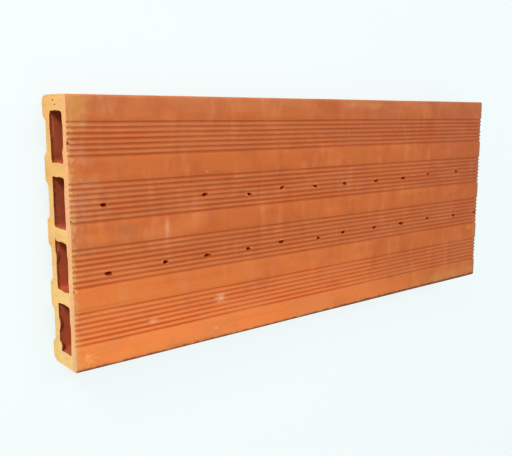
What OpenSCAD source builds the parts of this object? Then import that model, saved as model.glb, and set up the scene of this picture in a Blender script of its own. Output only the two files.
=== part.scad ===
// Hollow clay roof slab: one extruded, wire-cut and fired piece, lying on its back with the grooved face up.
// The cells run along X, the width runs along Y, and the five bearing pads of the underside stand on Z = 0.

/* [Slab] */
// Length of the slab, along the cells
slab_length = 500; // [250:5:1200]
// Width of the slab, across the cells
slab_width = 200; // [190:1:260]
// Thickness from the pads of the underside to the grooved face
slab_thickness = 40; // [36:0.5:80]
// Radius of the two long corners of the grooved face
face_corner_r = 1.8; // [0.5:0.1:3]
// Radius of the two long corners of the underside
back_corner_r = 6; // [2:0.5:7]

/* [Cells] */
// Number of cells side by side
cell_count = 4; // [3:1:5]
// Wall between the cells and the grooved face
face_wall = 7.5; // [5:0.5:10]
// Wall between a cell and the channel behind it
back_wall = 8; // [5:0.5:12]
// Web between two cells
web = 10; // [8:0.5:12]
// Wall beside the outer cells
side_wall = 11; // [9:0.5:14]
// Radius of the corners of a cell
cell_corner_r = 2; // [0.5:0.5:5]

/* [Channels of the underside] */
// Width of a channel's flat floor
channel_floor = 23; // [12:1:24]
// Depth of a channel below the pads
channel_depth = 4.5; // [2:0.5:7]
// Slope of a channel's sides, from the floor
channel_slope = 55; // [40:1:75]
// Radius of a channel's floor corners and of the shoulders of its pads
channel_r = 2; // [0.5:0.1:2.2]

/* [Grooves] */
// Groove places over each cell; the one nearest each long edge of the slab is left plain
groove_count = 8; // [5:1:8]
// Distance from groove to groove
groove_pitch = 3.93; // [3:0.01:4.2]
// Width of a groove at the face
groove_width = 2.5; // [1.5:0.1:2.8]
// Depth of a groove
groove_depth = 1.2; // [0.5:0.1:1.3]

/* [Vents] */
// Length of a vent, along the slab
vent_length = 5; // [2.6:0.2:10]
// Width of a vent
vent_width = 2.4; // [1.4:0.1:2.5]
// Even distance from vent to vent, before each one's slip
vent_pitch = 43; // [25:1:80]
// Distance of the first vents from the near end
vent_first = 25; // [12:1:60]
// Groove of a band that the vents are pierced in, counted from 0 at the -Y side
vent_groove = 3; // [1:1:4]

/* [Hidden] */
$fn = 48;
// how far each vent of a row has slipped from the even pitch; a longer slab runs through the list again
vent_slip = [2, 9, 5, 6, 1, 1, -5, -4, -4, -6, 1];
// the one vent that the piercing left closed: its cell and its place in the row
vent_missed = [2, 1];
vent_count = floor((slab_length - 2 * vent_first) / vent_pitch) + 1;
cell_width = (slab_width - 2 * side_wall - (cell_count - 1) * web) / cell_count;
cell_pitch = cell_width + web;
cell_depth = slab_thickness - face_wall - back_wall - channel_depth;
cell_z = channel_depth + back_wall;
// a groove is an arc through its two lips and its lowest line
groove_r = (groove_width * groove_width / 4 + groove_depth * groove_depth) / (2 * groove_depth);
groove_z = slab_thickness - groove_depth + groove_r;
// the cutters run this far past the faces they open
over = 1;
clay = [0.74, 0.42, 0.26];

function cell_y(i) = (i - (cell_count - 1) / 2) * cell_pitch;
function groove_y(i, k) = cell_y(i) + (k - (groove_count - 1) / 2) * groove_pitch;
// the outermost groove place of the two outer bands is not cut
function plain(i, k) = (i == 0 && k == 0) || (i == cell_count - 1 && k == groove_count - 1);
function vent_x(k) = vent_first + k * vent_pitch + vent_slip[k % len(vent_slip)] - slab_length / 2;
// points on an arc about c, from angle a to angle b
function arc(c, r, a, b, n = 8) = [for (j = [0:n]) c + r * [cos(a + (b - a) * j / n), sin(a + (b - a) * j / n)]];

// what rounding takes off a square corner at the origin whose body lies toward -X and -Y
module corner_waste(r) {
    difference() {
        translate([-r, -r]) square(r + over);
        translate([-r, -r]) circle(r);
    }
}

// rectangle about the origin with round corners
module round_rectangle(w, h, r) {
    square([w - 2 * r, h], center = true);
    square([w, h - 2 * r], center = true);
    for (sx = [-1, 1]) {
        for (sy = [-1, 1]) {
            translate([sx * (w / 2 - r), sy * (h / 2 - r)]) circle(r);
        }
    }
}

// channel of the underside, open toward -Y, its mouth on the X axis
module channel() {
    t = channel_r * tan(channel_slope / 2);
    floor_x = channel_floor / 2;
    mouth_x = floor_x + channel_depth / tan(channel_slope);
    shoulder = arc([mouth_x + t, channel_r], channel_r, 270, 270 - channel_slope);
    fillet = arc([floor_x - t, channel_depth - channel_r], channel_r, 90 - channel_slope, 90);
    half = concat([[mouth_x + t, -over]], shoulder, fillet);
    other = [for (j = [len(half) - 1:-1:0]) [-half[j][0], half[j][1]]];
    polygon(concat(half, other));
}

// cross-section of the slab: the width along X, the underside on Y = 0
module section() {
    difference() {
        translate([-slab_width / 2, 0]) square([slab_width, slab_thickness]);
        for (s = [0, 1]) {
            mirror([s, 0]) translate([slab_width / 2, slab_thickness]) corner_waste(face_corner_r);
            mirror([s, 0]) translate([slab_width / 2, 0]) mirror([0, 1]) corner_waste(back_corner_r);
        }
        for (i = [0:cell_count - 1]) {
            translate([cell_y(i), cell_z + cell_depth / 2])
                round_rectangle(cell_width, cell_depth, cell_corner_r);
            translate([cell_y(i), 0]) channel();
            for (k = [0:groove_count - 1]) {
                if (!plain(i, k)) translate([groove_y(i, k), groove_z]) circle(groove_r);
            }
        }
    }
}

// cutter of one vent, from inside its cell to above the face
module vent() {
    half = (vent_length - vent_width) / 2;
    tall = face_wall + 2 * over;
    translate([0, 0, slab_thickness - face_wall - over]) {
        translate([-half, -vent_width / 2, 0]) cube([2 * half, vent_width, tall]);
        for (s = [-1, 1]) {
            translate([s * half, 0, 0]) cylinder(h = tall, d = vent_width);
        }
    }
}

// the whole slab: the cross-section run along X, with a row of vents pierced into each inner cell
module roof_slab() {
    color(clay) difference() {
        translate([-slab_length / 2, 0, 0]) rotate([90, 0, 90]) linear_extrude(height = slab_length) section();
        for (i = [1:cell_count - 2]) {
            for (k = [0:vent_count - 1]) {
                if ([i, k] != vent_missed) translate([vent_x(k), groove_y(i, vent_groove), 0]) vent();
            }
        }
    }
}

roof_slab();
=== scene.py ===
import bpy
import math
import random
from mathutils import Matrix, Vector


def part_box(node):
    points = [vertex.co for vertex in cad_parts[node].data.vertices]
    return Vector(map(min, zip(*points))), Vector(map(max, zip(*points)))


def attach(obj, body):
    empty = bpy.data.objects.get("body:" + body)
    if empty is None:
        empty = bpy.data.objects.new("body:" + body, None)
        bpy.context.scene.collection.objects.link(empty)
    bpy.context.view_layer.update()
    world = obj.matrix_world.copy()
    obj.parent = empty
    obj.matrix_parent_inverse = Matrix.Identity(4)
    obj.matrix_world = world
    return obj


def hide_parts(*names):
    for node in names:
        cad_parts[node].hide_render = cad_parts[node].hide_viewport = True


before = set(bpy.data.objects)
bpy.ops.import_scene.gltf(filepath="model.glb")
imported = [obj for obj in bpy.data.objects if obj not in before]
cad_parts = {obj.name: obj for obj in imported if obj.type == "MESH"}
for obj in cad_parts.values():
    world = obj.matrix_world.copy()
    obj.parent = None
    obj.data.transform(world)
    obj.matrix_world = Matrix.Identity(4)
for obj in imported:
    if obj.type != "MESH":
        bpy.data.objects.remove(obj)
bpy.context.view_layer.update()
low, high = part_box("roof_slab")
length, width, thickness = high - low
mm = 0.001
# the slab in millimetres: its ends and long edges as the camera has them, and its grooved face at tall
near, far = low.x / mm, high.x / mm
lower, upper = low.y / mm, high.y / mm
tall, wide = thickness / mm, width / mm
print("frame loaded, slab", [round(side / mm, 1) for side in (length, width, thickness)], "mm")


def linearColour(code):
    # sRGB hex to the linear values that Blender's colour sockets take
    channels = [int(code[i:i + 2], 16) / 255 for i in (1, 3, 5)]
    return [c / 12.92 if c <= 0.04045 else ((c + 0.055) / 1.055) ** 2.4 for c in channels] + [1.0]


def addObject(name, data):
    holder = bpy.data.objects.new(name, data)
    bpy.context.scene.collection.objects.link(holder)
    return holder


def addNode(tree, kind, links=None, values=None, outlet=0, **settings):
    # links and values are keyed by the input's name or number; gives back one of the node's outputs
    node = tree.nodes.new(kind)
    for key, value in settings.items():
        setattr(node, key, value)
    for key, value in (values or {}).items():
        node.inputs[key].default_value = value
    for key, sources in (links or {}).items():
        for source in sources if isinstance(sources, list) else [sources]:
            tree.links.new(source, node.inputs[key])
    return node.outputs[outlet] if node.outputs else None


def emptyTree(holder):
    # the nodes of a material or of the world, cleared
    holder.use_nodes = True
    holder.node_tree.nodes.clear()
    return holder.node_tree


def keepMesh(holder):
    # makes what the modifiers give the object's own plain mesh
    bpy.context.view_layer.update()
    evaluated = holder.evaluated_get(bpy.context.evaluated_depsgraph_get())
    mesh = bpy.data.meshes.new_from_object(evaluated)
    holder.modifiers.clear()
    holder.data = mesh
    mesh.name = holder.name
    return holder


socketKinds = {float: "Float", int: "Int", bpy.types.Object: "Object", bpy.types.Material: "Material"}


def runTree(name, base, grow, values):
    # makes a tree with one named input for each value, has grow fill it, and keeps the result as a plain mesh
    tree = bpy.data.node_groups.new(name, "GeometryNodeTree")
    for side in ("INPUT", "OUTPUT"):
        tree.interface.new_socket("Geometry", in_out=side, socket_type="NodeSocketGeometry")
    sockets = {}
    for label, value in values.items():
        kind = "NodeSocket" + socketKinds[type(value)]
        sockets[label] = tree.interface.new_socket(label, in_out="INPUT", socket_type=kind).identifier
    given = tree.nodes.new("NodeGroupInput").outputs
    addNode(tree, "NodeGroupOutput", {0: grow(tree, given)})
    holder = addObject(name, base)
    modifier = holder.modifiers.new(name, "NODES")
    modifier.node_group = tree
    for label, value in values.items():
        modifier[sockets[label]] = value
    return keepMesh(holder)


def metres(settings, plain=()):
    # millimetre settings, written as floats, in the metres that the trees take; the plain ones aren't lengths
    return {key: value * mm if isinstance(value, float) and key not in plain else value
            for key, value in settings.items()}


# the die's opening in millimetres; the outside size comes from the frame
die = {
    "cellCount": 4,
    "faceWall": 7.5,
    "backWall": 8.0,
    "web": 10.0,
    "sideWall": 11.0,
    "cellCorner": 2.0,
    "faceCorner": 1.8,
    "backCorner": 6.0,
    "channelFloor": 23.0,
    "channelDepth": 4.5,
    "channelSlope": 55.0,
    "channelRound": 2.0,
    "grooveCount": 8,
    "groovePitch": 3.93,
    "grooveWidth": 2.5,
    "grooveDepth": 1.2,
    "grooveLip": 0.3,
    "stride": 5.0,  # longest straight step of the outline
    "cellStride": 2.5,
    "steps": {"face": 4, "back": 7, "cell": 4, "channel": 4, "floor": 5, "lip": 2},  # of each round stretch
    "crease": 38.0,  # degrees; a sharper bend shows as an edge
}
cellWidth = (wide - 2 * die["sideWall"] - (die["cellCount"] - 1) * die["web"]) / die["cellCount"]
cellDepth = tall - die["faceWall"] - die["backWall"] - die["channelDepth"]
cellFoot = die["channelDepth"] + die["backWall"]
cellHead = tall - die["faceWall"]
cellMiddle = cellFoot + cellDepth / 2
cellPitch = cellWidth + die["web"]
cellPlaces = [(i - (die["cellCount"] - 1) / 2) * cellPitch for i in range(die["cellCount"])]
grooveRadius = ((die["grooveWidth"] / 2) ** 2 + die["grooveDepth"] ** 2) / (2 * die["grooveDepth"])


def grooveRow(cell):
    # places of one cell's grooves; the outermost place of the two outer cells stays plain
    middle = (die["grooveCount"] - 1) / 2
    row = [cellPlaces[cell] + (k - middle) * die["groovePitch"] for k in range(die["grooveCount"])]
    if cell == 0:
        return row[1:]
    return row[:-1] if cell == die["cellCount"] - 1 else row


def arc(centre, radius, start, end, steps):
    turns = [math.radians(start + (end - start) * i / steps) for i in range(steps + 1)]
    return [(centre[0] + radius * math.cos(t), centre[1] + radius * math.sin(t)) for t in turns]


def stepped(points, stride):
    # adds points along straights that are longer than the stride
    out = []
    for (x0, y0), (x1, y1) in zip(points, points[1:] + points[:1]):
        pieces = max(1, math.ceil(math.hypot(x1 - x0, y1 - y0) / stride))
        out += [(x0 + (x1 - x0) * i / pieces, y0 + (y1 - y0) * i / pieces) for i in range(pieces)]
    return out


def groove(place):
    # one groove from its +Y lip to its -Y lip: a round floor between two small round lips
    lip, steps = die["grooveLip"], die["steps"]
    rise = grooveRadius - die["grooveDepth"]
    reach = math.sqrt((grooveRadius + lip) ** 2 - (rise + lip) ** 2)
    lean = math.degrees(math.atan2(rise + lip, reach))
    right = arc((place + reach, tall - lip), lip, 90, 180 - lean, steps["lip"])
    floor = arc((place, tall + rise), grooveRadius, -lean, lean - 180, steps["floor"])[1:-1]
    left = arc((place - reach, tall - lip), lip, lean, 90, steps["lip"])
    return right + floor + left


def faceHeight(y):
    # height of the grooved face at this place across it
    away = min(abs(y - place) for cell in range(die["cellCount"]) for place in grooveRow(cell))
    if away > die["grooveWidth"] / 2:
        return tall
    return tall - die["grooveDepth"] + grooveRadius - math.sqrt(grooveRadius ** 2 - away ** 2)


def channel(place):
    # one channel of the underside, from its -Y shoulder to its +Y shoulder
    bend, slope, depth = die["channelRound"], die["channelSlope"], die["channelDepth"]
    touch = bend * math.tan(math.radians(slope / 2))
    inner = die["channelFloor"] / 2 - touch
    outer = die["channelFloor"] / 2 + depth / math.tan(math.radians(slope)) + touch
    rounds = ((-outer, bend, 270, 270 + slope), (-inner, depth - bend, 90 + slope, 90),
              (inner, depth - bend, 90, 90 - slope), (outer, bend, 270 - slope, 270))
    points = []
    for side, height, start, end in rounds:
        points += arc((place + side, height), bend, start, end, die["steps"]["channel"])
    return points


def outsideLoop():
    face, back, steps = die["faceCorner"], die["backCorner"], die["steps"]
    points = arc((wide / 2 - face, tall - face), face, 0, 90, steps["face"])
    for cell in reversed(range(die["cellCount"])):
        for place in reversed(grooveRow(cell)):
            points += groove(place)
    points += arc((face - wide / 2, tall - face), face, 90, 180, steps["face"])
    points += arc((back - wide / 2, back), back, 180, 270, steps["back"])
    for place in cellPlaces:
        points += channel(place)
    points += arc((wide / 2 - back, back), back, 270, 360, steps["back"])
    return stepped(points, die["stride"])


def cellLoop(place):
    bend = die["cellCorner"]
    points = []
    for side, up, start in ((1, 1, 0), (-1, 1, 90), (-1, -1, 180), (1, -1, 270)):
        corner = (place + side * (cellWidth / 2 - bend), cellMiddle + up * (cellDepth / 2 - bend))
        points += arc(corner, bend, start, start + 90, die["steps"]["cell"])
    return stepped(points, die["cellStride"])[::-1]  # turned round, so that its wall faces into the cell


def loopCurve(name, loops):
    curve = bpy.data.curves.new(name, "CURVE")
    curve.dimensions = "3D"
    for points in loops:
        spline = curve.splines.new("POLY")
        spline.points.add(len(points) - 1)
        for point, (x, y) in zip(spline.points, points):
            point.co = (x * mm, y * mm, 0, 1)
        spline.use_cyclic_u = True
    return addObject(name, curve)


outline = loopCurve("dieOutline", [outsideLoop()])
cores = loopCurve("dieCores", [cellLoop(place) for place in cellPlaces])
print("die outline", len(outline.data.splines[0].points), "points, cores",
      sum(len(s.points) for s in cores.data.splines))

# finishes of the clay, in millimetres: a layer's noise shows nothing at low and its share at high, and a lean
# (middle, reach, gain) adds its gain to that noise at its middle and nothing past its reach; a relief is a
# list of noises (size, depth)
free = 9999  # reach along an axis that the lean ignores
seedStep = 37.0  # how far apart two seeds read the noise
# the lower near corner, where the kiln colour is yellowest and painted light from the floor brightens the
# skin most, and the groove floors of the lowest band there
kilnAndPaintedLightCorner = (near - 10, lower - 20, tall)
kilnAndPaintedLightFloors = (near + 130, lower + 30, tall - 1.8)  # just under the grooves of the lowest band
finishes = {
    # skin that slid along the die's walls: smoothed and drawn out lengthwise
    "skin": {
        "name": "firedClayDrawn",
        "colour": "#C46730",
        "roughness": 0.88,
        "specular": 0.22,
        "layers": [
            # the kiln's heat and painted light: yellower, brighter orange near the lower near corner, partly
            # kiln colour and partly painted light standing in for light thrown up from the floor; duller,
            # darker red at the far upper one, partly the painted light falling off
            {"colour": "#F88B41", "size": (220, 160, 160), "low": 0.51, "high": 1.39, "share": 0.91,
             "lean": [(kilnAndPaintedLightCorner, (420, 150, free), 1.1), ((near + 14, -1, tall), (20, 10, 9), 0.22)]},
            {"colour": "#AE5737", "size": (180, 140, 140), "low": 0.7, "high": 1.4, "share": 0.65,
             "lean": [((far + 20, upper, tall), (470, 200, free), 0.8)]},
            # paler along the two long edges, and duller on the upper one
            {"colour": "#CF8A5C", "size": (70, 12, 12), "low": 0.75, "high": 1.3, "share": 0.3, "detail": 2,
             "lean": [((0, edge, tall), (free, 22, 60), 0.7) for edge in (upper, lower)]},
            {"colour": "#A87658", "size": (60, 14, 14), "low": 0.6, "high": 1.1, "share": 0.2, "detail": 2,
             "lean": [((0, upper, tall), (free, 18, 60), 1.0)]},
            # broad clouds, then bands across from the stops of the press
            {"colour": "#B4572C", "size": (46, 30, 30), "low": 0.45, "high": 0.75, "share": 0.6, "detail": 3,
             "lean": [(kilnAndPaintedLightCorner, (430, 120, free), -0.2)]},
            {"colour": "#D67B45", "size": (34, 22, 22), "low": 0.48, "high": 0.78, "share": 0.5, "detail": 3,
             "seed": 3, "lean": [((near + 85, 2, tall), (45, 18, 9), 0.3)]},
            {"colour": "#D98A54", "size": (10, 34, 34), "low": 0.5, "high": 0.75, "share": 0.3, "detail": 3},
            {"colour": "#AD5630", "size": (15, 38, 38), "low": 0.5, "high": 0.72, "share": 0.34, "detail": 2,
             "seed": 6, "lean": [(kilnAndPaintedLightCorner, (430, 120, free), -0.2)]},
            # drawn lines and grit, coarser than the real ones so that they show
            {"colour": "#A9522D", "size": (130, 0.9, 0.9), "low": 0.5, "high": 0.9, "share": 0.35,
             "detail": 2},
            {"colour": "#E0A071", "size": (0.9, 0.9, 0.9), "low": 0.62, "high": 0.85, "share": 0.35,
             "detail": 2},
            {"colour": "#7E3B22", "size": (1.1, 1.1, 1.1), "low": 0.66, "high": 0.85, "share": 0.5,
             "detail": 1, "seed": 5},
            # dust that stays on the ribs
            {"colour": "#AA8162", "size": (40, 6, 6), "low": 0.6, "high": 1.1, "share": 0.14, "detail": 2,
             "lean": [((0, place, tall), (free, 18, 60), 1.6) for place in cellPlaces]},
            # painted shade: darker floors of the grooves, kept off the rounded long edges; and brighter
            # orange ones in the lowest band near the lower near corner, partly painted light
            {"colour": "#B4511C", "size": (60, 8, 8), "low": 0.5, "high": 1.2, "share": 0.75, "detail": 2,
             "lean": [((0, 0, tall - 1.8), (free, free, 1.5), 0.75), (kilnAndPaintedLightFloors, (460, 34, 9), -0.35),
                      ((0, upper, tall - 1.5), (free, 2.5, 4), -1),
                      ((0, lower, tall - 1.5), (free, 2.5, 4), -1)]},
            {"colour": "#D25A16", "size": (60, 8, 8), "low": 0.5, "high": 1.2, "share": 0.7, "detail": 2,
             "lean": [(kilnAndPaintedLightFloors, (460, 40, 1.5), 0.9)]},
            # tan smears of slurry at the near end, wider at its upper corner, paler at its lower one
            {"colour": "#CC8E66", "size": (9, 14, 14), "low": 0.75, "high": 1.2, "share": 0.5, "detail": 3,
             "seed": 8, "lean": [((near, 30, tall), (50, 100, free), 0.65),
                                 ((near + 24, upper - 3, tall), (34, 22, free), 0.42),
                                 ((near + 7, 46, tall), (16, 8, 9), -0.35)]},
            {"colour": "#D5A05C", "size": (3.5, 4.5, 4.5), "low": 0.72, "high": 1.15, "share": 0.75,
             "detail": 5, "lean": [((near, 0, tall), (8.5, free, free), 0.57),
                                   ((near, upper - 5, tall), (5, 20, free), -0.3)]},
            {"colour": "#D49A50", "size": (6, 5, 5), "low": 0.65, "high": 1.35, "share": 0.48, "detail": 2,
             "lean": [((near + 4, upper - 8, tall), (19, 30, free), 1.1)]},
            {"colour": "#F2A756", "size": (3, 2.5, 2.5), "low": 0.75, "high": 1.05, "share": 0.7, "detail": 4,
             "lean": [((near + 10, lower + 9, tall), (13, 12, free), 0.5)]},
            # tan blotches on the far half, most of them along the two long edges
            {"colour": "#C98A4E", "size": (13, 10, 10), "low": 1.0, "high": 1.4, "share": 0.5, "detail": 3,
             "seed": 4, "lean": [((60, upper - 5, tall), (90, 12, 60), 0.8),
                                 ((far - 50, lower + 8, tall), (180, 22, 60), 0.88),
                                 ((far - 15, -42, tall), (18, 9, 60), 0.8)]},
            # grey smudges on two strips toward the near end
            {"colour": "#A5623F", "size": (16, 26, 26), "low": 0.75, "high": 1.25, "share": 0.55, "detail": 2,
             "seed": 7, "lean": [((near + 43, 1, tall), (34, 16, 9), 0.7),
                                 ((near + 55, 47, tall), (30, 14, 9), 0.45)]},
            # lime spots, and two scrapes across the middle strip
            {"colour": "#EBB98E", "size": (4, 2.5, 4), "low": 0.7, "high": 1.5, "share": 0.66, "detail": 2,
             "lean": [((near + 130, -65, tall), (9, 7, 9), 1.0), ((near + 65, -72.5, tall), (9, 4, 9), 0.95),
                      ((near + 117, 41, tall), (5, 2.5, 9), 0.4), ((near + 147, 36, tall), (3, 2.5, 9), 0.5),
                      ((near + 125, -90, tall), (3, 3, 9), 0.8)]},
            {"colour": "#E0A074", "size": (9, 40, 40), "low": 0.75, "high": 1.4, "share": 0.55,
             "lean": [((near + 79, 1, tall), (4.5, 16, 9), 0.9), ((near + 36, 2, tall), (3, 15, 9), 0.5)]},
            # grey dust on the far arris, and a painted contact shadow along the lower long edge, deeper
            # toward the far end
            {"colour": "#93755C", "size": (5, 4, 4), "low": 0.65, "high": 1.35, "share": 0.8, "detail": 2,
             "lean": [((far + 1, 0, tall), (7, free, 9), 1.0)]},
            {"colour": "#5B3322", "size": (5, 4, 4), "low": 0.65, "high": 1.35, "share": 0.85, "detail": 2,
             "lean": [((0, lower - 0.5, tall - 1), (free, 4.2, 6), 1.25),
                      ((far - 110, lower - 0.5, tall - 1), (200, 6.5, 8), 0.6)]},
        ],
        "relief": [((150, 0.8, 0.8), 0.05), ((0.7, 0.7, 0.7), 0.09), ((6, 6, 6), 0.12)],
    },
    # walls of the cells, dragged by the cores; darker and redder than the skin, partly painted shade and red
    # light bounced about inside the cells
    "lining": {
        "name": "firedClayCell",
        "colour": "#BC5E3A",
        "roughness": 0.92,
        "specular": 0.15,
        "layers": [
            {"colour": "#98452D", "size": (60, 14, 14), "low": 0.4, "high": 0.75, "share": 0.6, "detail": 3},
            {"colour": "#C77748", "size": (110, 0.9, 0.9), "low": 0.5, "high": 0.85, "share": 0.4,
             "detail": 2},
            # warmer in the lower cells, and painted shade just inside the mouths on the side of the pads
            {"colour": "#E06C48", "size": (60, 40, 40), "low": 0.6, "high": 1.2, "share": 0.6,
             "lean": [((near, lower + 20, cellFoot), (free, 140, 3), 0.7)]},
            {"colour": "#6B2A0E", "size": (2, 3, 3), "low": 0.6, "high": 1.1, "share": 0.62, "detail": 2,
             "lean": [((near, 0, cellFoot - 0.5), (3.2, free, 7), 0.8)]},
        ],
        "relief": [((120, 0.9, 0.9), 0.15), ((1.2, 1.2, 1.2), 0.12)],
    },
    # ends where the wire opened the body: dry and dragged through the thickness; paler than the skin, partly
    # the cut's own colour and partly painted light for the brightly lit ends
    "cut": {
        "name": "firedClayWireCut",
        "colour": "#DFAB66",
        "roughness": 0.95,
        "specular": 0.12,
        "layers": [
            # yellower toward the lower corner, pinker wall behind the face
            {"colour": "#EFC880", "size": (20, 24, 24), "low": 0.6, "high": 1.2, "share": 0.85, "detail": 2,
             "seed": 2, "lean": [((near, lower - 10, tall / 2), (free, 230, free), 0.8)]},
            {"colour": "#EAA37F", "size": (40, 26, 9), "low": 0.6, "high": 1.2, "share": 0.8, "detail": 2,
             "lean": [((near, 0, tall), (free, free, 12), 0.8)]},
            {"colour": "#C9824B", "size": (3, 0.8, 9), "low": 0.52, "high": 0.8, "share": 0.45, "detail": 2},
            {"colour": "#8C4E2D", "size": (0.9, 0.9, 0.9), "low": 0.66, "high": 0.82, "share": 0.6,
             "detail": 1},
        ],
        "relief": [((3, 0.7, 9), 0.2), ((0.8, 0.8, 0.8), 0.2), ((4, 4, 4), 0.2)],
    },
    # dry crumbs pushed up by the needles
    "crumb": {
        "name": "firedClayCrumb",
        "colour": "#DC9C6C",
        "roughness": 0.95,
        "specular": 0.12,
        "layers": [
            {"colour": "#A9572F", "size": (1.5, 1.5, 1.5), "low": 0.4, "high": 0.7, "share": 0.6,
             "detail": 2},
        ],
        "relief": [((0.6, 0.6, 0.6), 0.2)],
    },
    # small breaks, darker than the skin
    "nick": {
        "name": "firedClayNick",
        "colour": "#80492A",
        "roughness": 0.96,
        "specular": 0.1,
        "layers": [
            {"colour": "#4E2B1B", "size": (2, 2, 2), "low": 0.4, "high": 0.7, "share": 0.7, "detail": 2},
        ],
        "relief": [((0.6, 0.6, 0.6), 0.3)],
    },
    # raw red clay torn by the needles
    "torn": {
        "name": "firedClayTorn",
        "colour": "#C84F20",
        "roughness": 0.96,
        "specular": 0.1,
        "layers": [
            {"colour": "#A03914", "size": (2, 2, 2), "low": 0.4, "high": 0.7, "share": 0.65, "detail": 2},
        ],
        "relief": [((0.6, 0.6, 0.6), 0.3)],
    },
}


def layerShare(tree, place, layer):
    # how far a layer covers what is under it: stretched noise, raised or lowered by its leans
    shift = layer.get("seed", 0) * seedStep
    cloud = addNode(tree, "ShaderNodeMapping", {0: place}, {
        "Scale": [1 / side for side in layer["size"]], "Location": (shift, shift, shift)})
    cloud = addNode(tree, "ShaderNodeTexNoise", {"Vector": cloud},
                    {"Scale": 1.0, "Detail": layer.get("detail", 1)})
    for middle, reach, gain in layer.get("lean", []):
        away = addNode(tree, "ShaderNodeVectorMath", {0: place}, {1: middle}, operation="SUBTRACT")
        away = addNode(tree, "ShaderNodeVectorMath", {0: away}, {1: reach}, operation="DIVIDE")
        away = addNode(tree, "ShaderNodeVectorMath", {0: away}, outlet="Value", operation="LENGTH")
        added = addNode(tree, "ShaderNodeMapRange", {"Value": away}, {"To Min": gain, "To Max": 0.0})
        cloud = addNode(tree, "ShaderNodeMath", {0: cloud, 1: added}, operation="ADD")
    return addNode(tree, "ShaderNodeMapRange", {"Value": cloud}, {
        "From Min": layer["low"], "From Max": layer["high"], "To Max": layer["share"]},
        interpolation_type="SMOOTHSTEP")


def reliefHeight(tree, place, relief):
    # a sum of noises, each with its size and depth
    height = None
    for size, depth in relief:
        grain = addNode(tree, "ShaderNodeVectorMath", {0: place}, {1: size}, operation="DIVIDE")
        grain = addNode(tree, "ShaderNodeTexNoise", {"Vector": grain}, {"Scale": 1.0, "Detail": 2.0})
        grain = addNode(tree, "ShaderNodeMath", {0: grain}, {1: depth}, operation="MULTIPLY")
        if height:
            grain = addNode(tree, "ShaderNodeMath", {0: height, 1: grain}, operation="ADD")
        height = grain
    return height


def fireClay(finish):
    # one clay finish: a body colour, the layers mixed over it, and a relief
    material = bpy.data.materials.new(finish["name"])
    tree = emptyTree(material)
    place = addNode(tree, "ShaderNodeTexCoord", outlet="Object")
    place = addNode(tree, "ShaderNodeVectorMath", {0: place}, {"Scale": 1 / mm}, operation="SCALE")
    colour = addNode(tree, "ShaderNodeRGB")
    colour.default_value = linearColour(finish["colour"])
    for layer in finish["layers"]:
        colour = addNode(tree, "ShaderNodeMix", {0: layerShare(tree, place, layer), 6: colour},
                         {7: linearColour(layer["colour"])}, outlet=2, data_type="RGBA")
    height = reliefHeight(tree, place, finish["relief"])
    bump = addNode(tree, "ShaderNodeBump", {"Height": height}, {"Distance": mm})
    shader = addNode(tree, "ShaderNodeBsdfPrincipled", {"Base Color": colour, "Normal": bump},
                     {"Roughness": finish["roughness"], "Specular IOR Level": finish["specular"]})
    addNode(tree, "ShaderNodeOutputMaterial", {"Surface": shader})
    return material


clay = {key: fireClay(finish) for key, finish in finishes.items()}
print("clay finishes:", len(clay))


def roughen(tree, geometry, amount, size, along=(1, 1, 1), stretch=(1, 1, 1), detail=1.0, chosen=None):
    # pushes the points about by noise of one size; along is the share of the push in X, Y and Z
    place = addNode(tree, "GeometryNodeInputPosition")
    place = addNode(tree, "ShaderNodeVectorMath", {0: place}, {1: stretch}, operation="DIVIDE")
    fine = addNode(tree, "ShaderNodeMath", {1: size}, {0: 1.0}, operation="DIVIDE")
    cloud = addNode(tree, "ShaderNodeTexNoise", {"Vector": place, "Scale": fine}, {"Detail": detail},
                    outlet="Color")
    even = addNode(tree, "ShaderNodeVectorMath", {0: cloud}, {1: (0.5, 0.5, 0.5)}, operation="SUBTRACT")
    even = addNode(tree, "ShaderNodeVectorMath", {0: even}, {1: along}, operation="MULTIPLY")
    shift = addNode(tree, "ShaderNodeVectorMath", {0: even, "Scale": amount}, operation="SCALE")
    links = {"Geometry": geometry, "Offset": shift}
    if chosen:
        links["Selection"] = chosen
    return addNode(tree, "GeometryNodeSetPosition", links)


def fromMiddle(tree):
    # how far along the slab a point lies from its middle
    place = addNode(tree, "GeometryNodeInputPosition")
    along = addNode(tree, "ShaderNodeSeparateXYZ", {0: place}, outlet="X")
    return addNode(tree, "ShaderNodeMath", {0: along}, operation="ABSOLUTE")


# how the clay column left the die and dried, in millimetres
column = {
    "Half Length": length / 2 / mm,
    "Overrun": 2.0,  # length that the wire takes off at each end
    "Stations": 112,  # sections along the column
    "Weld": 0.001,  # points nearer than this are joined
    "Warp": 0.5,
    "Warp Size": 110.0,
    "Ripple": 0.12,
    "Ripple Size": 14.0,
    "Fray": 0.7,  # the last few millimetres, torn by the wire
    "Fray Size": 6.0,
    "Fray Reach": 4.0,
    "Mouth": 2.2,  # the cells' walls there
    "Mouth Size": 8.0,
}


def packStations(tree, path, run):
    # moves the stations of an even path toward its two ends by a sine law
    place = addNode(tree, "GeometryNodeInputPosition")
    along = addNode(tree, "ShaderNodeSeparateXYZ", {0: place}, outlet="Z")
    share = addNode(tree, "ShaderNodeMath", {0: along, 1: run}, operation="DIVIDE")
    turn = addNode(tree, "ShaderNodeMath", {0: share}, {1: math.pi / 2}, operation="MULTIPLY")
    wave = addNode(tree, "ShaderNodeMath", {0: turn}, operation="SINE")
    packed = addNode(tree, "ShaderNodeMath", {0: wave, 1: run}, operation="MULTIPLY")
    packed = addNode(tree, "ShaderNodeCombineXYZ", {"Z": packed})
    return addNode(tree, "GeometryNodeSetPosition", {"Geometry": path, "Position": packed})


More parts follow.
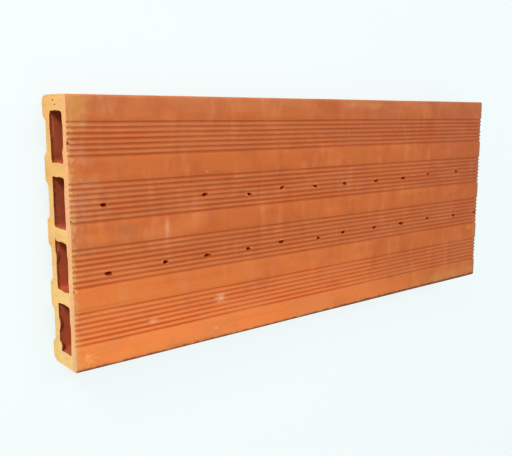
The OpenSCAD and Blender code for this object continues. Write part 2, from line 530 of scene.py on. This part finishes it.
def dryColumn(tree, given, solid):
    # warp bends the whole column, ripple roughens its walls, the ends fray
    across = (0, 1, 1)
    solid = roughen(tree, solid, given["Warp"], given["Warp Size"], across, detail=0.0)
    solid = roughen(tree, solid, given["Ripple"], given["Ripple Size"], across)
    out = fromMiddle(tree)
    left = addNode(tree, "ShaderNodeMath", {0: given["Half Length"], 1: out}, operation="SUBTRACT")
    frayed = addNode(tree, "ShaderNodeMapRange", {"Value": left, "From Max": given["Fray Reach"]},
                     {"To Min": 1.0, "To Max": 0.0}, interpolation_type="SMOOTHSTEP")
    cell = addNode(tree, "GeometryNodeMaterialSelection", {0: given["Lining"]})
    for part, chosen in (("Fray", None), ("Mouth", cell)):
        amount = addNode(tree, "ShaderNodeMath", {0: given[part], 1: frayed}, operation="MULTIPLY")
        solid = roughen(tree, solid, amount, given[part + " Size"], across, detail=2.0, chosen=chosen)
    return solid


def drawColumn(tree, given):
    # draws the section along X, closes both ends and lets the wet clay wander a little
    sections = {part: addNode(tree, "GeometryNodeObjectInfo", {"Object": given[part]}, outlet="Geometry")
                for part in ("Outline", "Cores")}
    run = addNode(tree, "ShaderNodeMath", {0: given["Half Length"], 1: given["Overrun"]}, operation="ADD")
    back = addNode(tree, "ShaderNodeMath", {0: run}, {1: -1.0}, operation="MULTIPLY")
    start = addNode(tree, "ShaderNodeCombineXYZ", {"Z": back})
    end = addNode(tree, "ShaderNodeCombineXYZ", {"Z": run})
    path = addNode(tree, "GeometryNodeCurvePrimitiveLine", {"Start": start, "End": end})
    path = addNode(tree, "GeometryNodeResampleCurve", {"Curve": path, "Count": given["Stations"]})
    path = packStations(tree, path, run)
    parts = []
    for part, finish in (("Outline", "Skin"), ("Cores", "Lining")):
        shell = addNode(tree, "GeometryNodeCurveToMesh", {"Curve": path, "Profile Curve": sections[part]})
        parts.append(addNode(tree, "GeometryNodeSetMaterial", {"Geometry": shell, "Material": given[finish]}))
    section = addNode(tree, "GeometryNodeJoinGeometry", {0: list(sections.values())})
    cap = addNode(tree, "GeometryNodeFillCurve", {"Curve": section}, mode="NGONS")
    cap = addNode(tree, "GeometryNodeSetMaterial", {"Geometry": cap, "Material": given["Skin"]})
    top = addNode(tree, "GeometryNodeTransform", {"Geometry": cap, "Translation": end})
    foot = addNode(tree, "GeometryNodeTransform", {"Geometry": cap, "Translation": start})
    foot = addNode(tree, "GeometryNodeFlipFaces", {"Mesh": foot})
    solid = addNode(tree, "GeometryNodeJoinGeometry", {0: parts + [top, foot]})
    solid = addNode(tree, "GeometryNodeMergeByDistance", {"Geometry": solid, "Distance": given["Weld"]})
    solid = addNode(tree, "GeometryNodeTransform", {"Geometry": solid},
                    {"Rotation": (math.pi / 2, 0, math.pi / 2)})
    return addNode(tree, "GeometryNodeRealizeInstances", {"Geometry": dryColumn(tree, given, solid)})


rough = runTree("clayColumn", bpy.data.meshes.new("clayColumn"), drawColumn, {
    **metres(column), "Outline": outline, "Cores": cores, "Skin": clay["skin"], "Lining": clay["lining"]})
for helper in (outline, cores):
    bpy.data.objects.remove(helper)
print("column drawn:", len(rough.data.polygons), "faces")

# the cutting wire's two passes, in millimetres
spare = 20.0  # how much wider and taller the waste blocks are than the slab
grit = (1, 1, 4)  # stretch of the marks of grit that the wire drags down the thickness
wire = {
    "Half Length": length / 2 / mm,
    "Block": 12.0,  # thickness of the waste block that the wire takes off
    "Width": wide + spare,
    "Height": tall + spare,
    "Middle": tall / 2,
    "Grid Across": 140,  # points of the cut face
    "Grid Tall": 38,
    "Bow": 0.5,
    "Bow Size": 45.0,
    "Drag": 0.16,
    "Drag Size": 5.0,
}


def wasteBlocks(tree, given):
    # two waste blocks whose inner faces follow the wire's path through the clay
    size = addNode(tree, "ShaderNodeCombineXYZ",
                   {"X": given["Block"], "Y": given["Width"], "Z": given["Height"]})
    block = addNode(tree, "GeometryNodeMeshCube",
                    {"Size": size, "Vertices Y": given["Grid Across"], "Vertices Z": given["Grid Tall"]})
    half = addNode(tree, "ShaderNodeMath", {0: given["Block"]}, {1: 0.5}, operation="MULTIPLY")
    out = addNode(tree, "ShaderNodeMath", {0: given["Half Length"], 1: half}, operation="ADD")
    blocks = []
    for side in (-1.0, 1.0):
        x = addNode(tree, "ShaderNodeMath", {0: out}, {1: side}, operation="MULTIPLY")
        place = addNode(tree, "ShaderNodeCombineXYZ", {"X": x, "Z": given["Middle"]})
        blocks.append(addNode(tree, "GeometryNodeTransform", {"Geometry": block, "Translation": place}))
    cut = addNode(tree, "GeometryNodeJoinGeometry", {0: blocks})
    inner = addNode(tree, "ShaderNodeMath", {0: fromMiddle(tree), 1: out}, operation="LESS_THAN")
    for part, stretch in (("Bow", (1, 1, 1)), ("Drag", grit)):
        cut = roughen(tree, cut, given[part], given[part + " Size"], (1, 0, 0), stretch, chosen=inner)
    cut = addNode(tree, "GeometryNodeRealizeInstances", {"Geometry": cut})
    return addNode(tree, "GeometryNodeSetMaterial", {"Geometry": cut, "Material": given["Cut"]})


waste = runTree("wireWaste", bpy.data.meshes.new("wireWaste"), wasteBlocks, {
    **metres(wire), "Cut": clay["cut"]})
print("waste blocks:", len(waste.data.polygons), "faces")

# the two rows of pierced vents, in millimetres
vents = {
    "first": 25.0,  # from the near end
    "pitch": 43.0,
    "slip": (2, 9, 5, 6, 1, 1, -5, -4, -4, -6, 1),  # each place's slip from the even pitch
    "groove": 3,
    "missed": (2, 1),  # cell and place of the one that stayed closed
    # how far each vent of a cell's row strayed from its place, along and across
    "along": {1: (1, 0, 1, 0, 0, 2, -1, 0, -1, 1, 0), 2: (-1, 0, -1, 1, 0, -2, 0, 1, 0, 0, 1)},
    "across": {1: (-4, -2, -2, -2, 0, -2, 0, 0, 0, 1, 0), 2: (0, 0, 1, -2, 1, 0, 0, 0, 0, 2, 2)},
    "runOut": (1, 3.4),  # cell of the one that the wire cut open, and how far it is from the far end
    "rim": (3.0, 1.7),  # how far from its middle a vent's crumbs lie, along and across
    "crumbs": 3,  # most crumbs round one vent
    "crumbSize": (0.6, 1.1),
    "crumbLong": (1, 1.7),  # these two are times its size
    "crumbTall": 0.7,
    "sunk": 0.4,  # share of a crumb's size that its middle lies below the face
    "seed": 11,
}
needle = {
    "Tip": 1.1,
    "Shank": 1.42,
    "Depth": 11.0,
    "Sides": 20,
    "Rings": 16,
    "Proud": 1.5,  # part of the needle above the face
    "Flare": 1.6,  # depth of the torn rim
    "Tear": 0.8,
    "Tear Size": 1.6,
    "Open": 0.22,  # how much wider the rim is
    "Longest": 2.4,  # these two are times the needle's own width
    "Shortest": 1.5,
    "Lean": 0.1,  # radians
    "Seed": 4,
}


def flaredNeedle(tree, given):
    # one tapering needle whose rim flares toward the face
    cone = addNode(tree, "GeometryNodeMeshCone", {
        "Radius Bottom": given["Tip"], "Radius Top": given["Shank"], "Depth": given["Depth"],
        "Vertices": given["Sides"], "Side Segments": given["Rings"]})
    down = addNode(tree, "ShaderNodeMath", {0: given["Proud"], 1: given["Depth"]}, operation="SUBTRACT")
    down = addNode(tree, "ShaderNodeCombineXYZ", {"Z": down})
    cone = addNode(tree, "GeometryNodeTransform", {"Geometry": cone, "Translation": down})
    place = addNode(tree, "GeometryNodeInputPosition")
    z = addNode(tree, "ShaderNodeSeparateXYZ", {0: place}, outlet="Z")
    foot = addNode(tree, "ShaderNodeMath", {0: given["Flare"]}, {1: -1.0}, operation="MULTIPLY")
    flare = addNode(tree, "ShaderNodeMapRange", {"Value": z, "From Min": foot, "To Max": given["Open"]},
                    {"From Max": 0.0}, interpolation_type="SMOOTHSTEP")
    flare = addNode(tree, "ShaderNodeVectorMath", {0: place, "Scale": flare}, operation="SCALE")
    flare = addNode(tree, "ShaderNodeVectorMath", {0: flare}, {1: (1, 1, 0)}, operation="MULTIPLY")
    return addNode(tree, "GeometryNodeSetPosition", {"Geometry": cone, "Offset": flare})


def needleHoles(tree, given):
    # a needle hole for each point, with its own length along X and lean, torn all over
    drawn = addNode(tree, "FunctionNodeRandomValue", {
        2: given["Shortest"], 3: given["Longest"], "Seed": given["Seed"]}, outlet=1, data_type="FLOAT")
    scale = addNode(tree, "ShaderNodeCombineXYZ", {"X": drawn}, {"Y": 1.0, "Z": 1.0})
    back = addNode(tree, "ShaderNodeMath", {0: given["Lean"]}, {1: -1.0}, operation="MULTIPLY")
    least = addNode(tree, "ShaderNodeCombineXYZ", {i: back for i in range(3)})
    most = addNode(tree, "ShaderNodeCombineXYZ", {i: given["Lean"] for i in range(3)})
    lean = addNode(tree, "FunctionNodeRandomValue", {0: least, 1: most, "Seed": given["Seed"]},
                   data_type="FLOAT_VECTOR")
    holes = addNode(tree, "GeometryNodeInstanceOnPoints", {
        "Points": given["Geometry"], "Instance": flaredNeedle(tree, given), "Rotation": lean, "Scale": scale})
    holes = addNode(tree, "GeometryNodeRealizeInstances", {"Geometry": holes})
    holes = roughen(tree, holes, given["Tear"], given["Tear Size"])
    return addNode(tree, "GeometryNodeSetMaterial", {"Geometry": holes, "Material": given["Torn"]})


def ventPlaces():
    count = int((length / mm - 2 * vents["first"]) // vents["pitch"]) + 1
    places = []
    for cell in range(1, die["cellCount"] - 1):
        row = grooveRow(cell)[vents["groove"]]
        for k in range(count):
            if (cell, k) != vents["missed"]:
                turn = k % len(vents["slip"])
                even = near + vents["first"] + k * vents["pitch"]
                x = even + vents["slip"][turn] + vents["along"][cell][turn]
                places.append((x, row + vents["across"][cell][turn], tall))
    cell, short = vents["runOut"]
    places.append((far - short, grooveRow(cell)[vents["groove"]], tall))
    return places


def pointMesh(name, places, sizes=None):
    # loose points, each with the size of what is set on it
    mesh = bpy.data.meshes.new(name)
    mesh.from_pydata([[c * mm for c in place] for place in places], [], [])
    if sizes:
        sides = [c * mm for size in sizes for c in size]
        mesh.attributes.new("size", "FLOAT_VECTOR", "POINT").data.foreach_set("vector", sides)
    return mesh


ventSpots = ventPlaces()
needles = runTree("ventNeedles", pointMesh("ventPoints", ventSpots), needleHoles, {
    **metres(needle, plain=("Open", "Longest", "Shortest", "Lean")), "Torn": clay["torn"]})
print("vents:", len(ventSpots))

# broken and torn places, in millimetres: middle, then half sizes
breaks = {
    "chips": [
        ((near, 66, tall), (1.3, 3, 1.2)),  # nick in the near arris
        ((near, upper - 4, 19), (0.6, 0.6, 0.9)),  # two pits near the top of the near end
        ((near, upper - 7, 22), (0.5, 0.5, 0.8)),
        ((near, -38, tall), (0.8, 2.5, 0.7)),
        ((near, 12, tall), (0.7, 1.8, 0.6)),
        ((far, -30, tall), (1.2, 2.6, 1)),
        ((far, 71, tall), (1, 2, 0.9)),
    ],
    "lumps": [
        ((near, -69, cellFoot), (3, 4.5, 1.6)),  # clay pushed into the mouths of the cells
        ((near, -86, cellFoot + 0.5), (3, 4, 2.6)),
        ((near, -60, cellHead + 0.1), (3, 6, 0.9)),
        ((near, 62, cellHead + 0.1), (3, 8, 1.1)),
        ((near, -10, cellHead + 0.1), (3, 6, 1.0)),
        ((near, 79, cellFoot), (3, 5, 0.9)),
        ((near, 28, cellHead + 0.1), (3, 6, 0.8)),
        ((near, -17, cellFoot), (3, 5, 0.7)),
        ((far, 70, cellFoot + 0.1), (3, 6, 1.1)),
        ((far, -28, cellHead), (3, 7, 1)),
    ],
    "hollows": [
        ((near, 74, cellHead - 0.1), (3, 14, 1.4)),  # mouths dragged wider by the cores
        ((near, 78, cellFoot + 0.1), (3, 9, 0.9)),
        ((near, -9, cellFoot + 0.1), (3, 6, 0.9)),
    ],
    "leastPoints": 2000,  # smaller bits than this come off
}
lump = {
    "Fineness": 3,
    "Tear": 0.9,
    "Tear Size": 1.7,
}


def unevenBalls(tree, given):
    # an uneven ball for each point, as large as the point says
    ball = addNode(tree, "GeometryNodeMeshIcoSphere", {"Subdivisions": given["Fineness"]}, {"Radius": 1.0})
    size = addNode(tree, "GeometryNodeInputNamedAttribute", values={"Name": "size"}, data_type="FLOAT_VECTOR")
    balls = addNode(tree, "GeometryNodeInstanceOnPoints", {
        "Points": given["Geometry"], "Instance": ball, "Scale": size})
    balls = addNode(tree, "GeometryNodeRealizeInstances", {"Geometry": balls})
    balls = roughen(tree, balls, given["Tear"], given["Tear Size"])
    return addNode(tree, "GeometryNodeSetMaterial", {"Geometry": balls, "Material": given["Broken"]})


def makeLumps(name, spots, finish):
    places, sizes = zip(*spots)
    return runTree(name, pointMesh(name, places, sizes), unevenBalls, {
        **metres(lump), "Broken": clay[finish]})


def crumbSpots():
    # a few crumbs beside each vent, thrown by a fixed seed
    dice = random.Random(vents["seed"])
    along, across = vents["rim"]
    spots = []
    for x, y, _ in ventSpots:
        for _ in range(dice.randint(1, vents["crumbs"])):
            turn = dice.uniform(0, 2 * math.pi)
            size = dice.uniform(*vents["crumbSize"])
            side = y + across * math.sin(turn)
            place = (x + along * math.cos(turn), side, faceHeight(side) - vents["sunk"] * size)
            spots.append((place, (size * dice.uniform(*vents["crumbLong"]), size, vents["crumbTall"] * size)))
    return spots


def looseBitsOff(tree, given):
    # keeps the slab and lets the small bits that the needles cut free fall away
    island = addNode(tree, "GeometryNodeInputMeshIsland", outlet="Island Index")
    points = addNode(tree, "GeometryNodeAccumulateField", {"Group ID": island}, {"Value": 1}, outlet="Total",
                     data_type="INT", domain="POINT")
    small = addNode(tree, "FunctionNodeCompare", {2: points, 3: given["Least Points"]},
                    data_type="INT", operation="LESS_THAN")
    return addNode(tree, "GeometryNodeDeleteGeometry", {"Geometry": given["Geometry"], "Selection": small},
                   domain="POINT")


def shapeColumn(steps):
    # steps: (boolean operation, tool), done in turn and then kept
    for operation, tool in steps:
        modifier = rough.modifiers.new(tool.name, "BOOLEAN")
        modifier.operation = operation
        modifier.solver = "MANIFOLD"
        modifier.material_mode = "TRANSFER"
        modifier.object = tool
    keepMesh(rough)
    for _, tool in steps:
        bpy.data.objects.remove(tool)


shapeColumn([
    ("UNION", makeLumps("ventCrumbs", crumbSpots(), "crumb")),
    ("UNION", makeLumps("mouthLumps", breaks["lumps"], "lining")),
    ("DIFFERENCE", waste),
    ("DIFFERENCE", needles),
    ("DIFFERENCE", makeLumps("chips", breaks["chips"], "nick")),
    ("DIFFERENCE", makeLumps("mouthHollows", breaks["hollows"], "lining")),
])
print("crumbs and lumps set, ends cut, vents pierced:", len(rough.data.polygons), "faces")
slab = runTree("claySlab", rough.data, looseBitsOff, {"Least Points": breaks["leastPoints"]})
bpy.data.objects.remove(rough)
print("loose bits off:", len(slab.data.polygons), "faces")
slab.data.set_sharp_from_angle(angle=math.radians(die["crease"]))
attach(slab, "root")
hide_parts("roof_slab")

# floor and light, in metres; a lamp's level 1 shows a colour as it is written
studio = {
    "floor": "#F4FDFD",
    "floorSize": 8.0,
    "floorDrop": 0.4 * mm,  # clear of the pads' ripple
    "veil": 0.85,  # share of the floor that is seen as plain white
    "sky": 0.37,
    "lamps": {
        "key": {"place": (-1.0, 1.0, 0.75), "aim": (-0.25, 0, 0.03), "size": (0.4, 0.4), "level": 0.45},
        "above": {"place": (0.25, 0.75, 1.6), "aim": (0, 0, 0.04), "size": (1.0, 0.7), "level": 0.33},
        "front": {"place": (-0.1, -0.35, 1.0), "aim": (-0.1, -0.08, 0.04), "size": (0.5, 0.5), "level": 0.22},
        "side": {"place": (-1.0, 0.9, 0.12), "aim": (-0.25, 0, 0.02), "size": (0.4, 0.3), "level": 0.55},
        "fill": {"place": (1.3, -0.6, 0.25), "aim": (0.2, 0, 0.02), "size": (0.6, 0.4), "level": 0.15},
    },
}


def lookAt(holder, place, aim):
    # turns a camera or lamp to its aim, with +Y up in its picture
    ahead = (Vector(aim) - Vector(place)).normalized()
    right = ahead.cross(Vector((0, 1, 0))).normalized()
    turn = Matrix((right, right.cross(ahead), -ahead)).transposed()
    holder.matrix_world = Matrix.Translation(place) @ turn.to_4x4()


def seenRays(tree):
    # 1 for the camera's rays and for those in gloss or glass, which meet a white surround
    rays = addNode(tree, "ShaderNodeLightPath").node.outputs
    seen = rays["Is Camera Ray"]
    for kind in ("Is Glossy Ray", "Is Transmission Ray"):
        seen = addNode(tree, "ShaderNodeMath", {0: seen, 1: rays[kind]}, operation="MAXIMUM")
    return seen


def whitePaper():
    # matt paper, lightened for the camera so that it stays white
    paper = bpy.data.materials.new("whitePaper")
    tree = emptyTree(paper)
    matt = addNode(tree, "ShaderNodeBsdfDiffuse", values={"Color": linearColour(studio["floor"])})
    glow = addNode(tree, "ShaderNodeEmission", values={"Color": linearColour(studio["floor"])})
    veil = addNode(tree, "ShaderNodeMath", {0: seenRays(tree)}, {1: studio["veil"]}, operation="MULTIPLY")
    mixed = addNode(tree, "ShaderNodeMixShader", {0: veil, 1: matt, 2: glow})
    addNode(tree, "ShaderNodeOutputMaterial", {"Surface": mixed})
    return paper


half = studio["floorSize"] / 2
corners = [(-half, -half, 0), (half, -half, 0), (half, half, 0), (-half, half, 0)]
sheet = bpy.data.meshes.new("floor")
sheet.from_pydata(corners, [], [(0, 1, 2, 3)])
sheet.materials.append(whitePaper())
floor = addObject("floor", sheet)
floor.location.z = -studio["floorDrop"]

for name, lamp in studio["lamps"].items():
    light = bpy.data.lights.new(name, "AREA")
    light.shape = "RECTANGLE"
    light.size, light.size_y = lamp["size"]
    light.energy = lamp["level"] * (math.pi * (Vector(lamp["aim"]) - Vector(lamp["place"])).length) ** 2
    lookAt(addObject(name, light), lamp["place"], lamp["aim"])

world = bpy.data.worlds.new("world")
tree = emptyTree(world)
sky = addNode(tree, "ShaderNodeBackground", values={"Color": (1, 1, 1, 1), "Strength": studio["sky"]})
wall = addNode(tree, "ShaderNodeBackground", values={"Color": linearColour(studio["floor"])})
surround = addNode(tree, "ShaderNodeMixShader", {0: seenRays(tree), 1: sky, 2: wall})
addNode(tree, "ShaderNodeOutputWorld", {"Surface": surround})
bpy.context.scene.world = world
print("floor, world and", len(studio["lamps"]), "lamps set")

# place and aim in metres, lens and sensor in millimetres
view = {"place": (-0.4507, 0.0854, 0.4889), "aim": (-0.0818, -0.0101, 0.0397), "lens": 48.24, "sensor": 36.0}
camera = addObject("camera", bpy.data.cameras.new("camera"))
lookAt(camera, view["place"], view["aim"])
camera.data.lens = view["lens"]
camera.data.sensor_width = view["sensor"]
camera.data.sensor_fit = "HORIZONTAL"
bpy.context.scene.camera = camera
bpy.context.scene.view_settings.view_transform = "Standard"
